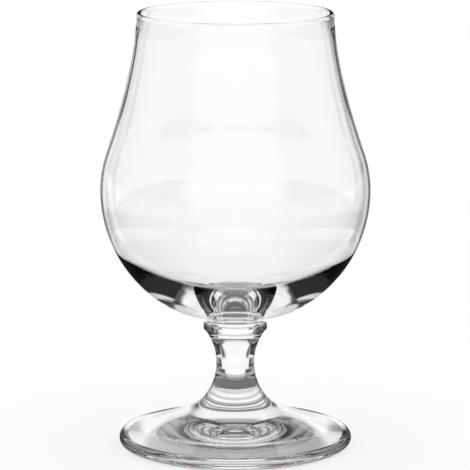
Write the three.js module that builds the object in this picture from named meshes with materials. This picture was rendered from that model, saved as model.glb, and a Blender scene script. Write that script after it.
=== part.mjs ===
// Stemmed beer glass: a tulip bowl, a waisted stem and a heavy foot, joined hot, face to face.
// Millimetres, +Z up. The origin is the centre of the flat ring that the foot rests on.
import * as THREE from "three";

// Foot
const FOOT_RADIUS = 43.4;
const FOOT_EDGE = 5.0; // thickness of the fully rounded edge
const FOOT_HEIGHT = 16.0; // resting plane to the stem's seat
const FOOT_SLOPE = 15.0; // degrees that the top falls towards the edge
const FLARE_RADIUS = 18.3; // where the sloping top would meet the stem's flare if the corner were sharp
const REST_RADIUS = 39.0; // inner radius of the flat resting ring
const PUNT_HEIGHT = 5.3; // height of the shallow hollow underneath

// Stem
const STEM_LENGTH = 30.0;
const STEM_BASE_RADIUS = 13.3; // also the seat on the foot
const WAIST_RADIUS = 7.1;
const WAIST_HEIGHT = 14.8; // above the stem's lower end
const COLLAR_RADIUS = 11.9; // also the pad under the bowl
const COLLAR_BAND = 1.5;

// Groove round the joint of stem and bowl, half of it cut from each
const GROOVE_DEPTH = 0.6;
const GROOVE_HALF_WIDTH = 0.5;

// Bowl, outside
const BOWL_HEIGHT = 116.2;
const BELLY_RADIUS = 50.0; // the lower bowl is half a ball that sits on the stem
const SHOULDER_RADIUS = 45.5; // profile curve above the belly
const SHOULDER_TURN = 20.5; // degrees that the shoulder leans in before the flank takes over
const FLANK_REACH = 10.0; // how far the flank keeps the shoulder's lean
const LIP_REACH = 14.5; // how far the flank stays upright under the lip
const RIM_RADIUS = 36.4;

// Bowl, inside
const LIP_WALL = 2.2; // fire-polished bead round the rim
const NECK_WALL = 1.3; // the thinnest glass, just under the bead
const BEAD_HEIGHT = 9.0; // over which the bead swells out of the wall
const BELLY_WALL = 1.45;
const BASE_WALL = 3.8; // glass between the drink and the stem
const HOLLOW_TURN = 26.0; // degrees below the belly where the wall begins to thicken
const HOLLOW_REACH = 14.0; // how far the hollow keeps the ball's lean from there
const FLOOR_REACH = 10.5; // how far the hollow's floor stays level from the axis

// Facets
const SIDES = 48;
const LONG_CURVE_STEPS = 10;
const SHORT_CURVE_STEPS = 4;

const SEAT_RADIUS = COLLAR_RADIUS - GROOVE_DEPTH;
const QUARTER_TURN = Math.PI / 2;

const point = (radius, height) => new THREE.Vector2(radius, height);

// Points of an arc in the profile plane, with angles counted from the radius axis.
function arc(centre, radius, from, to, steps) {
  const clockwise = to < from;
  const curve = new THREE.EllipseCurve(centre.x, centre.y, radius, radius, from, to, clockwise);
  return curve.getPoints(steps);
}

// Points of the arc that stands upright at the waist and ends at a wider point above or below it.
function waistArc(waist, end) {
  const rise = end.y - waist.y;
  const spread = end.x - waist.x;
  const radius = (rise * rise + spread * spread) / (2 * spread);
  const turn = Math.atan2(rise, radius - spread);
  const centre = point(waist.x + radius, waist.y);
  return arc(centre, radius, Math.PI, Math.PI - turn, LONG_CURVE_STEPS);
}

// Turns a profile, given from the axis round the outside and back to the axis, into a named solid.
function turned(name, profile, material) {
  const nearby = 1e-6;
  const outline = profile.filter((p, i) => i === 0 || p.distanceTo(profile[i - 1]) > nearby);
  const geometry = new THREE.LatheGeometry(outline, SIDES);
  geometry.rotateX(QUARTER_TURN);
  const mesh = new THREE.Mesh(geometry, material);
  mesh.name = name;
  return mesh;
}

const clearGlass = () => new THREE.MeshStandardMaterial({ color: 0xf2f5f4, roughness: 0.05, metalness: 0 });

function makeFoot() {
  const edgeRadius = FOOT_EDGE / 2;
  const edgeCentre = point(FOOT_RADIUS - edgeRadius, edgeRadius);
  const puntRadius = (REST_RADIUS * REST_RADIUS + PUNT_HEIGHT * PUNT_HEIGHT) / (2 * PUNT_HEIGHT);
  const puntCentre = point(0, PUNT_HEIGHT - puntRadius);
  const puntEnd = Math.acos(REST_RADIUS / puntRadius);
  const punt = arc(puntCentre, puntRadius, QUARTER_TURN, puntEnd, SHORT_CURVE_STEPS);
  const slope = THREE.MathUtils.degToRad(FOOT_SLOPE);
  const edge = arc(edgeCentre, edgeRadius, -QUARTER_TURN, QUARTER_TURN - slope, LONG_CURVE_STEPS);
  const brow = edge[edge.length - 1];
  const flare = point(FLARE_RADIUS, brow.y + (brow.x - FLARE_RADIUS) * Math.tan(slope));
  const seat = point(STEM_BASE_RADIUS, FOOT_HEIGHT);
  const top = new THREE.QuadraticBezierCurve(brow, flare, seat).getPoints(LONG_CURVE_STEPS);
  return turned("foot", [...punt, ...edge, ...top, point(0, FOOT_HEIGHT)], clearGlass());
}

function makeStem() {
  const waist = point(WAIST_RADIUS, WAIST_HEIGHT);
  const foot = point(STEM_BASE_RADIUS, 0);
  const bandTop = STEM_LENGTH - GROOVE_HALF_WIDTH;
  const bandFoot = point(COLLAR_RADIUS, bandTop - COLLAR_BAND);
  const profile = [
    point(0, 0),
    ...waistArc(waist, foot).reverse(),
    ...waistArc(waist, bandFoot),
    point(COLLAR_RADIUS, bandTop),
    point(SEAT_RADIUS, STEM_LENGTH),
    point(0, STEM_LENGTH),
  ];
  return turned("stem", profile, clearGlass());
}

// One face of the bowl's upper wall, from the belly up to the lip, set in from the outside by its two walls.
function upperWall(bellyWall, lipWall, lipHeight) {
  const turn = THREE.MathUtils.degToRad(SHOULDER_TURN);
  const shoulderCentre = point(BELLY_RADIUS - SHOULDER_RADIUS, BELLY_RADIUS);
  const shoulder = arc(shoulderCentre, SHOULDER_RADIUS - bellyWall, 0, turn, SHORT_CURVE_STEPS);
  const start = shoulder[shoulder.length - 1];
  const end = point(RIM_RADIUS - lipWall, lipHeight);
  const startPull = point(start.x - FLANK_REACH * Math.sin(turn), start.y + FLANK_REACH * Math.cos(turn));
  const endPull = point(end.x, end.y - LIP_REACH);
  const flank = new THREE.CubicBezierCurve(start, startPull, endPull, end).getPoints(LONG_CURVE_STEPS);
  return [...shoulder, ...flank];
}

// Inside of the upper wall, which follows the outside and swells into the bead at the lip.
function innerWall(lipHeight) {
  const wall = upperWall(BELLY_WALL, NECK_WALL, lipHeight);
  for (const p of wall) {
    const swell = THREE.MathUtils.smoothstep(p.y, lipHeight - BEAD_HEIGHT, lipHeight);
    p.x -= (LIP_WALL - NECK_WALL) * swell;
  }
  return wall;
}

// Inside of the lower bowl: along the ball at an even wall, and then down a soft funnel to the axis.
function hollow(belly) {
  const turn = THREE.MathUtils.degToRad(HOLLOW_TURN);
  const side = arc(belly, BELLY_RADIUS - BELLY_WALL, 0, -turn, SHORT_CURVE_STEPS);
  const start = side[side.length - 1];
  const startPull = point(start.x - HOLLOW_REACH * Math.sin(turn), start.y - HOLLOW_REACH * Math.cos(turn));
  const floor = point(0, BASE_WALL);
  const floorPull = point(FLOOR_REACH, BASE_WALL);
  const funnel = new THREE.CubicBezierCurve(start, startPull, floorPull, floor).getPoints(LONG_CURVE_STEPS);
  return [...side, ...funnel];
}

function makeBowl() {
  const belly = point(0, BELLY_RADIUS);
  const padTurn = -Math.acos(COLLAR_RADIUS / BELLY_RADIUS);
  const lipRadius = LIP_WALL / 2;
  const lipCentre = point(RIM_RADIUS - lipRadius, BOWL_HEIGHT - lipRadius);
  const profile = [
    point(0, 0),
    point(SEAT_RADIUS, 0),
    point(COLLAR_RADIUS, GROOVE_HALF_WIDTH),
    ...arc(belly, BELLY_RADIUS, padTurn, 0, LONG_CURVE_STEPS),
    ...upperWall(0, 0, lipCentre.y),
    ...arc(lipCentre, lipRadius, 0, Math.PI, SHORT_CURVE_STEPS),
    ...innerWall(lipCentre.y).reverse(),
    ...hollow(belly),
  ];
  return turned("bowl", profile, clearGlass());
}

const foot = makeFoot();
const stem = makeStem();
const bowl = makeBowl();

// Bowl and stem stand on the foot as one stack.
const upper = new THREE.Group();
upper.position.z = FOOT_HEIGHT;
bowl.position.z = STEM_LENGTH;
upper.add(stem, bowl);

const glass = new THREE.Group();
glass.name = "beer_glass";
glass.add(foot, upper);

export default glass;
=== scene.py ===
# Clear stemmed beer glass: smooth bowl, stem and foot, fused at two seams, in a bright studio.
import math

import bpy
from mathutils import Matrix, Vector


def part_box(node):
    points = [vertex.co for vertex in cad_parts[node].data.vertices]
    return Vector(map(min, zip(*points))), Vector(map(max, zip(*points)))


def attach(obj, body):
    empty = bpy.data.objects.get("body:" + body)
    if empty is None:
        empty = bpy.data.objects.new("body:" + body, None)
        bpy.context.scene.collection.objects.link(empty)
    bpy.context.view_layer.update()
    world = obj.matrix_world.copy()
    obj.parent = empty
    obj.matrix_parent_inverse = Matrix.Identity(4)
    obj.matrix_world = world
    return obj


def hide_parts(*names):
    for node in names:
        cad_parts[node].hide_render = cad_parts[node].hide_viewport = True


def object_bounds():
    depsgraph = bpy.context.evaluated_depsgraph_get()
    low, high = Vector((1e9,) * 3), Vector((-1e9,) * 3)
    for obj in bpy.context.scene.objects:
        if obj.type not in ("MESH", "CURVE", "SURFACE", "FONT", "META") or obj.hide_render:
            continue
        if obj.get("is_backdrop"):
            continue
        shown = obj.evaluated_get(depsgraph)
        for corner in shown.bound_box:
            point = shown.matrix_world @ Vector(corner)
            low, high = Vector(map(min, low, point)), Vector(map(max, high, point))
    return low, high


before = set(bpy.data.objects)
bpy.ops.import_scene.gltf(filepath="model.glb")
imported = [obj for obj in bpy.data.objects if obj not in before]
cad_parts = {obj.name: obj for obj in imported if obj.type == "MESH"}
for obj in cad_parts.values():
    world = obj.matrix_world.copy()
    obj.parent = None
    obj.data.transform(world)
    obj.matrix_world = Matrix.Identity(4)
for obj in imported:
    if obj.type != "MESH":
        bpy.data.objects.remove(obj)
solid_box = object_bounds()

MM = 0.001
QUARTER_TURN = math.pi / 2

# Sizes that the frame gives, in millimetres
foot_low, foot_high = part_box("foot")
stem_low, stem_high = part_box("stem")
bowl_low, bowl_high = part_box("bowl")
FOOT_RADIUS = foot_high.x / MM
FOOT_HEIGHT = foot_high.z / MM
STEM_BASE_RADIUS = stem_high.x / MM
STEM_LENGTH = (stem_high.z - stem_low.z) / MM
BELLY_RADIUS = bowl_high.x / MM
BOWL_HEIGHT = (bowl_high.z - bowl_low.z) / MM

# Sizes of the solids that no box shows, in millimetres and degrees
FOOT_EDGE = 5.0
FOOT_SLOPE = 15.0
FLARE_RADIUS = 18.3
REST_RADIUS = 39.0
PUNT_HEIGHT = 5.3
WAIST_RADIUS = 7.1
WAIST_HEIGHT = 14.8
COLLAR_RADIUS = 11.9
COLLAR_BAND = 1.5
GROOVE_DEPTH = 0.6
GROOVE_HALF_WIDTH = 0.5
SHOULDER_RADIUS = 45.5
SHOULDER_TURN = 20.5
FLANK_REACH = 10.0
LIP_REACH = 14.5
RIM_RADIUS = 36.4
LIP_WALL = 2.2
NECK_WALL = 1.3
BEAD_HEIGHT = 9.0
BELLY_WALL = 1.45
BASE_WALL = 3.8
HOLLOW_TURN = 26.0
HOLLOW_REACH = 14.0
FLOOR_REACH = 10.5
SEAT_RADIUS = COLLAR_RADIUS - GROOVE_DEPTH

# Fineness of the turned surfaces
SIDES = 256
LONG_STEPS = 48
SHORT_STEPS = 24
CORNER = math.radians(14)

# Studio, in metres and degrees from straight behind the glass. A pair is a soft edge's start and end.
LEFT = -1
RIGHT = 1
BLACK_LEVEL = 0.03
TENT_RADIUS = 1.0
TENT_HEIGHT = 1.05
LANE_EDGE = (18, 24)
FRONT_EDGE = (120, 150)


def arc(centre, radius, start, end, steps):
    """Points of an arc in the profile plane, with angles counted from the radius axis."""
    angles = [start + (end - start) * i / steps for i in range(steps + 1)]
    return [Vector((centre[0] + radius * math.cos(a), centre[1] + radius * math.sin(a))) for a in angles]


def bezier(handles, steps):
    """Points of the Bezier curve with these handles, its two ends included."""
    points = []
    for i in range(steps + 1):
        row = [Vector(h) for h in handles]
        while len(row) > 1:
            row = [a.lerp(b, i / steps) for a, b in zip(row, row[1:])]
        points.append(row[0])
    return points


def smoothstep(value, low, high):
    """Runs from 0 at low to 1 at high with level ends."""
    t = min(max((value - low) / (high - low), 0), 1)
    return t * t * (3 - 2 * t)


def between(first, last, share):
    """The value at this share of the way from first to last."""
    return first + (last - first) * share


def waist_arc(waist, end):
    """Points of the arc that stands upright at the waist and ends at a wider point above or below it."""
    rise = end[1] - waist[1]
    spread = end[0] - waist[0]
    radius = (rise * rise + spread * spread) / (2 * spread)
    turn = math.atan2(rise, radius - spread)
    return arc((waist[0] + radius, waist[1]), radius, math.pi, math.pi - turn, LONG_STEPS)


def foot_profile():
    """The foot's outline from the axis round to the axis, in runs of points with their finish."""
    edge_radius = FOOT_EDGE / 2
    punt_radius = (REST_RADIUS**2 + PUNT_HEIGHT**2) / (2 * PUNT_HEIGHT)
    punt_end = math.acos(REST_RADIUS / punt_radius)
    punt = arc((0, PUNT_HEIGHT - punt_radius), punt_radius, QUARTER_TURN, punt_end, LONG_STEPS)
    slope = math.radians(FOOT_SLOPE)
    edge_centre = (FOOT_RADIUS - edge_radius, edge_radius)
    edge = arc(edge_centre, edge_radius, -QUARTER_TURN, QUARTER_TURN - slope, SHORT_STEPS)
    brow = edge[-1]
    flare = (FLARE_RADIUS, brow.y + (brow.x - FLARE_RADIUS) * math.tan(slope))
    top = bezier([brow, flare, (STEM_BASE_RADIUS, FOOT_HEIGHT)], LONG_STEPS)
    return [("clear", [*punt, *edge, *top]), ("seam", [Vector((0, FOOT_HEIGHT))])]


def stem_profile():
    """The stem's outline, in runs as for the foot."""
    waist = (WAIST_RADIUS, WAIST_HEIGHT)
    band_top = STEM_LENGTH - GROOVE_HALF_WIDTH
    band_foot = (COLLAR_RADIUS, band_top - COLLAR_BAND)
    foot = (STEM_BASE_RADIUS, 0)
    groove = [Vector((COLLAR_RADIUS, band_top)), Vector((SEAT_RADIUS, STEM_LENGTH))]
    side = [*reversed(waist_arc(waist, foot)), *waist_arc(waist, band_foot), *groove]
    lower_seam = [Vector((0, 0)), Vector(foot)]
    upper_seam = [Vector((0, STEM_LENGTH))]
    return [("seam", lower_seam), ("clear", side), ("seam", upper_seam)]


def upper_wall(belly_wall, lip_wall, lip_height):
    """One face of the bowl's upper wall, from the belly up to the lip."""
    turn = math.radians(SHOULDER_TURN)
    centre = (BELLY_RADIUS - SHOULDER_RADIUS, BELLY_RADIUS)
    shoulder = arc(centre, SHOULDER_RADIUS - belly_wall, 0, turn, SHORT_STEPS)
    start = shoulder[-1]
    end = Vector((RIM_RADIUS - lip_wall, lip_height))
    start_pull = start + FLANK_REACH * Vector((-math.sin(turn), math.cos(turn)))
    end_pull = end - Vector((0, LIP_REACH))
    return [*shoulder, *bezier([start, start_pull, end_pull, end], LONG_STEPS)]


def inner_wall(lip_height):
    """Inside of the upper wall, which swells into the bead at the lip."""
    wall = upper_wall(BELLY_WALL, NECK_WALL, lip_height)
    for p in wall:
        p.x -= (LIP_WALL - NECK_WALL) * smoothstep(p.y, lip_height - BEAD_HEIGHT, lip_height)
    return wall


def hollow():
    """Inside of the lower bowl: along the ball at an even wall, then down a soft funnel to the axis."""
    turn = math.radians(HOLLOW_TURN)
    side = arc((0, BELLY_RADIUS), BELLY_RADIUS - BELLY_WALL, 0, -turn, SHORT_STEPS)
    start = side[-1]
    start_pull = start - HOLLOW_REACH * Vector((math.sin(turn), math.cos(turn)))
    funnel = bezier([start, start_pull, (FLOOR_REACH, BASE_WALL), (0, BASE_WALL)], LONG_STEPS)
    return [*side, *funnel]


def bowl_profile():
    """The bowl's outline, in runs as for the foot."""
    pad_turn = -math.acos(COLLAR_RADIUS / BELLY_RADIUS)
    lip_radius = LIP_WALL / 2
    lip_centre = (RIM_RADIUS - lip_radius, BOWL_HEIGHT - lip_radius)
    wall = [
        Vector((COLLAR_RADIUS, GROOVE_HALF_WIDTH)),
        *arc((0, BELLY_RADIUS), BELLY_RADIUS, pad_turn, 0, LONG_STEPS),
        *upper_wall(0, 0, lip_centre[1]),
        *arc(lip_centre, lip_radius, 0, math.pi, SHORT_STEPS),
        *reversed(inner_wall(lip_centre[1])),
        *hollow(),
    ]
    return [("seam", [Vector((0, 0)), Vector((SEAT_RADIUS, 0))]), ("clear", wall)]


def joined(runs):
    """The points of all runs as one outline without repeats, and the finish of each stretch of it."""
    nearby = 1e-5
    outline = []
    finishes = []
    for finish, points in runs:
        for p in points:
            if not outline:
                outline.append(p)
            elif (p - outline[-1]).length > nearby:
                outline.append(p)
                finishes.append(finish)
    return outline, finishes


def sharp_rings(mesh, outline):
    """Marks the rings where the profile has a corner, so that smooth shading stops there."""
    corners = set()
    for i in range(1, len(outline) - 1):
        before = outline[i] - outline[i - 1]
        after = outline[i + 1] - outline[i]
        if before.angle(after) > CORNER:
            corners.add(i - 1)
    for edge in mesh.edges:
        a, b = (v - 1 for v in edge.vertices)
        if a // SIDES == b // SIDES and a // SIDES in corners:
            edge.use_edge_sharp = True


def turned(name, runs, base, materials):
    """Turns a profile, given in runs, into a closed piece that stands at the height of its base."""
    outline, finishes = joined(runs)
    rings = outline[1:-1]
    around = [math.tau * k / SIDES for k in range(SIDES)]
    verts = [(0, 0, outline[0].y * MM + base)]
    for p in rings:
        verts += [(p.x * MM * math.cos(a), p.x * MM * math.sin(a), p.y * MM + base) for a in around]
    verts.append((0, 0, outline[-1].y * MM + base))
    last = 1 + (len(rings) - 1) * SIDES
    faces = []
    for k in range(SIDES):
        after = (k + 1) % SIDES
        faces.append((0, 1 + after, 1 + k))
        for low in range(1, last, SIDES):
            high = low + SIDES
            faces.append((low + k, low + after, high + after, high + k))
        faces.append((last + k, last + after, len(verts) - 1))
    mesh = bpy.data.meshes.new(name)
    mesh.from_pydata(verts, [], faces)
    used = sorted(set(finishes))
    for finish in used:
        mesh.materials.append(materials[finish])
    for i, poly in enumerate(mesh.polygons):
        poly.use_smooth = True
        poly.material_index = used.index(finishes[i % len(finishes)])
    sharp_rings(mesh, outline)
    piece = bpy.data.objects.new(name, mesh)
    bpy.context.scene.collection.objects.link(piece)
    return piece


def clear_glass():
    """Colourless fire-polished glass, with the faint slow waves that blown and pressed glass keeps."""
    wave_scale = 28.0
    wave_height = 0.00002
    material = bpy.data.materials.new("clear_glass")
    material.use_nodes = True
    nodes = material.node_tree.nodes
    links = material.node_tree.links
    shader = nodes["Principled BSDF"]
    shader.inputs["Base Color"].default_value = (0.99, 0.995, 0.993, 1)
    shader.inputs["Roughness"].default_value = 0.0
    shader.inputs["IOR"].default_value = 1.52
    shader.inputs["Transmission Weight"].default_value = 1.0
    place = nodes.new("ShaderNodeTexCoord")
    waves = nodes.new("ShaderNodeTexNoise")
    waves.inputs["Scale"].default_value = wave_scale
    waves.inputs["Detail"].default_value = 1.0
    bump = nodes.new("ShaderNodeBump")
    bump.inputs["Strength"].default_value = 1.0
    bump.inputs["Distance"].default_value = wave_height
    links.new(place.outputs["Object"], waves.inputs["Vector"])
    links.new(waves.outputs["Fac"], bump.inputs["Height"])
    links.new(bump.outputs["Normal"], shader.inputs["Normal"])
    return material


def fused_seam():
    """The faces where two pieces are melted together: light passes them as if they weren't there."""
    material = bpy.data.materials.new("fused_seam")
    material.use_nodes = True
    nodes = material.node_tree.nodes
    nodes.remove(nodes["Principled BSDF"])
    clear = nodes.new("ShaderNodeBsdfTransparent")
    material.node_tree.links.new(clear.outputs["BSDF"], nodes["Material Output"].inputs["Surface"])
    return material


def card_shade():
    """Even glow at the grey level that each point of a card carries, as dense as its cover says."""
    material = bpy.data.materials.new("card_shade")
    material.use_nodes = True
    nodes = material.node_tree.nodes
    links = material.node_tree.links
    nodes.remove(nodes["Principled BSDF"])
    level = nodes.new("ShaderNodeAttribute")
    level.attribute_name = "level"
    cover = nodes.new("ShaderNodeAttribute")
    cover.attribute_name = "cover"
    glow = nodes.new("ShaderNodeEmission")
    gap = nodes.new("ShaderNodeBsdfTransparent")
    mix = nodes.new("ShaderNodeMixShader")
    links.new(level.outputs["Fac"], glow.inputs["Color"])
    links.new(cover.outputs["Fac"], mix.inputs["Fac"])
    links.new(gap.outputs["BSDF"], mix.inputs[1])
    links.new(glow.outputs["Emission"], mix.inputs[2])
    links.new(mix.outputs["Shader"], nodes["Material Output"].inputs["Surface"])
    return material


def seen_directly(nodes, links):
    """1 for what the camera sees straight, mirrored or through glass, and 0 for light on other things."""
    path = nodes.new("ShaderNodeLightPath")
    kinds = ["Is Camera Ray", "Is Glossy Ray", "Is Transmission Ray"]
    total = path.outputs[kinds[0]]
    for kind in kinds[1:]:
        larger = nodes.new("ShaderNodeMath")
        larger.operation = "MAXIMUM"
        links.new(total, larger.inputs[0])
        links.new(path.outputs[kind], larger.inputs[1])
        total = larger.outputs["Value"]
    return total


def white_floor():
    """A white table that glows a little, so that it reads as white and still takes the glass's shadow."""
    glow_share = 0.7
    matt_share = 1 - glow_share
    material = bpy.data.materials.new("white_floor")
    material.use_nodes = True
    nodes = material.node_tree.nodes
    links = material.node_tree.links
    nodes.remove(nodes["Principled BSDF"])
    matt = nodes.new("ShaderNodeBsdfDiffuse")
    matt.inputs["Color"].default_value = (0.8, 0.8, 0.8, 1)
    pale = nodes.new("ShaderNodeBsdfDiffuse")
    pale.inputs["Color"].default_value = (matt_share, matt_share, matt_share, 1)
    glow = nodes.new("ShaderNodeEmission")
    glow.inputs["Color"].default_value = (glow_share, glow_share, glow_share, 1)
    both = nodes.new("ShaderNodeAddShader")
    links.new(pale.outputs["BSDF"], both.inputs[0])
    links.new(glow.outputs["Emission"], both.inputs[1])
    mix = nodes.new("ShaderNodeMixShader")
    links.new(seen_directly(nodes, links), mix.inputs["Fac"])
    links.new(matt.outputs["BSDF"], mix.inputs[1])
    links.new(both.outputs["Shader"], mix.inputs[2])
    links.new(mix.outputs["Shader"], nodes["Material Output"].inputs["Surface"])
    return material


def staged(name, verts, faces, material):
    """Adds a mesh that belongs to the studio."""
    mesh = bpy.data.meshes.new(name)
    mesh.from_pydata(verts, [], faces)
    mesh.materials.append(material)
    thing = bpy.data.objects.new(name, mesh)
    bpy.context.scene.collection.objects.link(thing)
    thing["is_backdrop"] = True
    return thing


def card(name, material, place, level, cover, grid, through=False, mirrored=False):
    """A sheet that the camera only sees through the glass or mirrored in it, as the two flags say."""
    rows, columns = grid
    verts = []
    levels = []
    covers = []
    for i in range(rows + 1):
        for j in range(columns + 1):
            u = i / rows
            v = j / columns
            verts.append(place(u, v))
            levels.append(level(u, v))
            covers.append(cover(u, v))
    faces = []
    for i in range(rows):
        for j in range(columns):
            k = i * (columns + 1) + j
            faces.append((k, k + 1, k + columns + 2, k + columns + 1))
    thing = staged(name, verts, faces, material)
    for field, values in (("level", levels), ("cover", covers)):
        thing.data.attributes.new(field, "FLOAT", "POINT").data.foreach_set("value", values)
    thing.visible_camera = False
    thing.visible_diffuse = False
    thing.visible_shadow = False
    thing.visible_transmission = through
    thing.visible_glossy = mirrored


def even(value):
    """A level or cover that is the same all over a card."""
    return lambda u, v: value


black = even(BLACK_LEVEL)
full = even(1.0)


def soft_ends(u, fade):
    """Cover that fades out over this share of a card at each end."""
    return smoothstep(u, 0, fade) * (1 - smoothstep(u, 1 - fade, 1))


def round_spot(radius, bearing, height):
    """A point at this distance from the glass's axis, on this bearing."""
    b = math.radians(bearing)
    return (radius * math.sin(b), radius * math.cos(b), height)


def full_circle(u):
    """Bearing along a card that runs all round the glass."""
    return between(-180, 180, u)


def wall_card(material):
    """A tent wall: black at the sides of the glass, thinner and only higher up before and behind it."""
    back_edge = (33, 35)
    front_edge = (125, 145)
    side_rise = (0.02, 0.08)
    front_rise = (0.15, 0.6)
    back_rise = (0.55, 0.8)
    front_cover = 0.4
    back_cover = 0.6

    def place(u, v):
        return round_spot(TENT_RADIUS, full_circle(u), TENT_HEIGHT * v)

    def cover(u, v):
        b = abs(full_circle(u))
        z = TENT_HEIGHT * v
        behind = 1 - smoothstep(b, *back_edge)
        before = smoothstep(b, *front_edge)
        side = (1 - behind) * (1 - before) * smoothstep(z, *side_rise)
        front = front_cover * before * smoothstep(z, *front_rise)
        back = back_cover * behind * smoothstep(z, *back_rise)
        return side + front + back

    card("wall_card", material, place, black, cover, grid=(360, 105), through=True)


def roof_card(material):
    """A dark ceiling over the tent."""
    dark = even(0.1)

    def place(u, v):
        x = between(-TENT_RADIUS, TENT_RADIUS, u)
        y = between(-TENT_RADIUS, TENT_RADIUS, v)
        return (x, y, TENT_HEIGHT)

    card("roof_card", material, place, dark, full, grid=(1, 1), through=True)


def shaded_table_card(material):
    """The table by the foot, painted with shade: dark round it, white in a lane behind, and under it a
    grey painted shadow of the foot with a darker painted shadow of the stem.
    """
    half = 0.08
    height = -0.0001
    foot_edge = (0.0415, 0.0435)
    front_cut = 0.02
    far_fade = 0.02
    # The painted shadow of the foot on the table under it, and the darker painted shadow of the stem
    # inside that
    foot_shadow_end = (0.045, 0.049)
    foot_shadow_side = (0.030, 0.036)
    foot_shadow_level = 0.4
    stem_shadow_half_width = 0.018
    stem_shadow_half_depth = 0.022
    stem_shadow_behind = 0.008
    stem_shadow_edge = (0.8, 1.2)
    stem_shadow_drop = 0.27

    def place(u, v):
        return (between(-half, half, u), between(-half, half, v), height)

    def level(u, v):
        x, y = place(u, v)[:2]
        distance = math.hypot(x, y)
        bearing = abs(math.degrees(math.atan2(x, y)))
        # Painted shade of the table round the foot, open in a lane behind
        reach = half - front_cut * smoothstep(bearing, *FRONT_EDGE)
        around = smoothstep(distance, *foot_edge) * (1 - smoothstep(distance, reach - far_fade, reach))
        table = 1 - (1 - BLACK_LEVEL) * around * smoothstep(bearing, *LANE_EDGE)
        # Painted shadow of the foot under it, with the darker painted shadow of the stem in it
        from_stem_shadow = math.hypot(x / stem_shadow_half_width, (y - stem_shadow_behind) / stem_shadow_half_depth)
        under = foot_shadow_level - stem_shadow_drop * (1 - smoothstep(from_stem_shadow, *stem_shadow_edge))
        foot_shadow = (1 - smoothstep(distance, *foot_shadow_end)) * (1 - smoothstep(abs(x), *foot_shadow_side))
        return between(table, under, foot_shadow)

    card("shaded_table_card", material, place, level, full, grid=(160, 160), through=True, mirrored=True)


def mirrored_table_shade(material):
    """Painted shade of the wider table beside the glass: black, only mirrored, open behind the glass and
    before it.
    """
    inner = 0.05
    outer = 0.26
    side_edge = (50, 70)
    side_cut = 0.06
    far_fade = 0.03

    def distance(v):
        return between(inner, outer, v)

    def place(u, v):
        return round_spot(distance(v), full_circle(u), 0.0)

    def cover(u, v):
        b = abs(full_circle(u))
        beside = smoothstep(b, *LANE_EDGE) * (1 - smoothstep(b, *FRONT_EDGE))
        reach = outer - side_cut * smoothstep(b, *side_edge)
        return beside * (1 - smoothstep(distance(v), reach - far_fade, reach))

    # Black painted shade of the table beside the glass, seen only mirrored
    card("mirrored_table_shade", material, place, black, cover, grid=(180, 21), mirrored=True)


def stem_card(name, material, side):
    """A low black card beside the glass that darkens the edges of its stem."""
    radius = 0.075
    top = 0.034
    first = 28
    last = 110
    back_edge = (first, 36)
    front_edge = (70, last)
    top_edge = (0.6, 1.0)

    def bearing(u):
        return between(first, last, u)

    def place(u, v):
        return round_spot(radius, side * bearing(u), top * v)

    def cover(u, v):
        b = bearing(u)
        along = smoothstep(b, *back_edge) * (1 - smoothstep(b, *front_edge))
        return along * (1 - smoothstep(v, *top_edge))

    card(name, material, place, black, cover, grid=(41, 10), through=True)


def foot_card(name, material, side):
    """A low grey card beside the foot, whose top rises from its back end to its front end."""
    radius = 0.06
    bottom = 0.012
    back_top = 0.024
    front_top = 0.036
    first = 34
    last = 124
    rise = (first, 60)
    end_fade = 0.2
    top_edge = (0.5, 1.0)
    grey = even(0.4)

    def place(u, v):
        bearing = between(first, last, u)
        top = between(back_top, front_top, smoothstep(bearing, *rise))
        return round_spot(radius, side * bearing, between(bottom, top, v))

    def cover(u, v):
        return soft_ends(u, end_fade) * (1 - smoothstep(v, *top_edge))

    card(name, material, place, grey, cover, grid=(40, 10), through=True)


def limb_cards(name, material, side, low, middle, high):
    """Two black cards in one place at one end of the white behind the glass, for the bowl's dark edge: a
    dense one that is only mirrored in the glass and a thinner one that only shows through it. Their inner
    edge is this far to the side at their bottom, half-way up and at their top."""
    behind = 0.2
    top = 0.220
    lower_rise = (0.050, 0.090)
    upper_rise = (0.115, 0.135)
    outer_rise = (0.106, 0.122)
    lower_outer = 0.135
    upper_outer = 0.180
    dense_fade = 0.2
    thin_fade = 0.4
    thin_share = 0.9
    thin_rise = (0.0, 0.03)
    grid = (30, 55)

    def place(u, v):
        z = top * v
        lower_step = (middle - low) * smoothstep(z, *lower_rise)
        upper_step = (high - middle) * smoothstep(z, *upper_rise)
        inner = low + lower_step + upper_step
        outer = between(lower_outer, upper_outer, smoothstep(z, *outer_rise))
        return (side * between(inner, outer, u), behind, z)

    def dense(u, v):
        return soft_ends(u, dense_fade)

    def thin(u, v):
        return thin_share * soft_ends(u, thin_fade) * smoothstep(top * v, *thin_rise)

    card(name + "_mirrored", material, place, black, dense, grid, mirrored=True)
    card(name + "_through", material, place, black, thin, grid, through=True)


def mirror_card(name, material, side, reach):
    """A black card that is mirrored in the bowl's edge up to the bearing of its reach, and low down
    in the foot's edge beyond that."""
    radius = 0.25
    top = 0.3
    first = 24
    last = 130
    reach_fade = 9
    low_edge = (0.030, 0.045)

    def bearing(u):
        return between(first, last, u)

    def place(u, v):
        return round_spot(radius, side * bearing(u), top * v)

    def cover(u, v):
        high = 1 - smoothstep(bearing(u), reach - reach_fade, reach)
        low = 1 - smoothstep(top * v, *low_edge)
        return max(high, low)

    card(name, material, place, black, cover, grid=(106, 100), mirrored=True)


def crown_card(material):
    """A black card over the back of the rim that is mirrored in its two ends."""
    half_width = 0.06
    behind = 0.1
    bottom = 0.163
    height = 0.035

    def place(u, v):
        return (between(-half_width, half_width, u), behind, bottom + height * v)

    card("crown_card", material, place, black, full, grid=(1, 1), mirrored=True)


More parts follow.
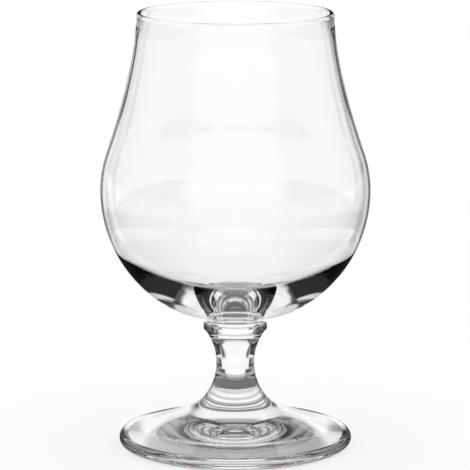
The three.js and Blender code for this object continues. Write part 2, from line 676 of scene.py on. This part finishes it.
def studio():
    """A white floor, with grey and black cards that only show in the glass; two of them are painted shade
    and shadow of the table round the foot.
    """
    floor_gap = 0.0002
    half = 4.0
    corners = [(-half, -half), (half, -half), (half, half), (-half, half)]
    staged("floor", [(x, y, -floor_gap) for x, y in corners], [(0, 1, 2, 3)], white_floor())
    shade = card_shade()
    wall_card(shade)
    roof_card(shade)
    shaded_table_card(shade)
    mirrored_table_shade(shade)
    stem_card("stem_card_left", shade, LEFT)
    stem_card("stem_card_right", shade, RIGHT)
    foot_card("foot_card_left", shade, LEFT)
    foot_card("foot_card_right", shade, RIGHT)
    limb_cards("limb_card_left", shade, LEFT, low=0.074, middle=0.092, high=0.083)
    limb_cards("limb_card_right", shade, RIGHT, low=0.062, middle=0.078, high=0.055)
    mirror_card("mirror_card_left", shade, LEFT, reach=44)
    mirror_card("mirror_card_right", shade, RIGHT, reach=56)
    crown_card(shade)


def surroundings():
    """An even white world."""
    world = bpy.data.worlds.new("white_world")
    world.use_nodes = True
    world.node_tree.nodes["Background"].inputs["Color"].default_value = (1, 1, 1, 1)
    world.node_tree.nodes["Background"].inputs["Strength"].default_value = 1.0
    bpy.context.scene.world = world


def camera():
    """A long lens that looks a little down on the glass."""
    distance = 1.2234
    pitch = math.radians(10.78)
    aim_height = 0.0791
    aim_side = -0.0001
    lens = bpy.data.cameras.new("camera")
    lens.sensor_width = 36.0
    lens.lens = 252.7
    lens.clip_start = 0.05
    lens.clip_end = 50.0
    eye = bpy.data.objects.new("camera", lens)
    eye.location = (aim_side, -distance * math.cos(pitch), aim_height + distance * math.sin(pitch))
    eye.rotation_euler = (QUARTER_TURN - pitch, 0, 0)
    bpy.context.scene.collection.objects.link(eye)
    bpy.context.scene.camera = eye


def glass_pieces():
    """The three pieces, each in place of its solid."""
    materials = {"clear": clear_glass(), "seam": fused_seam()}
    made = {
        "foot": turned("foot_glass", foot_profile(), foot_low.z, materials),
        "stem": turned("stem_glass", stem_profile(), stem_low.z, materials),
        "bowl": turned("bowl_glass", bowl_profile(), bowl_low.z, materials),
    }
    for node, piece in made.items():
        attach(piece, "root")
        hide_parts(node)


def light_paths():
    """Many bends of light, but at most 11 mirrorings, so that the thick base keeps dark crescents."""
    settings = bpy.context.scene.cycles
    settings.max_bounces = 32
    settings.glossy_bounces = 11
    settings.transmission_bounces = 32
    settings.transparent_max_bounces = 32


glass_pieces()
studio()
surroundings()
camera()
light_paths()
bpy.context.scene.view_settings.view_transform = "Standard"

boxes = {"cad": solid_box, "visual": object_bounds()}
{name: [list(corner) for corner in box] for name, box in boxes.items()}
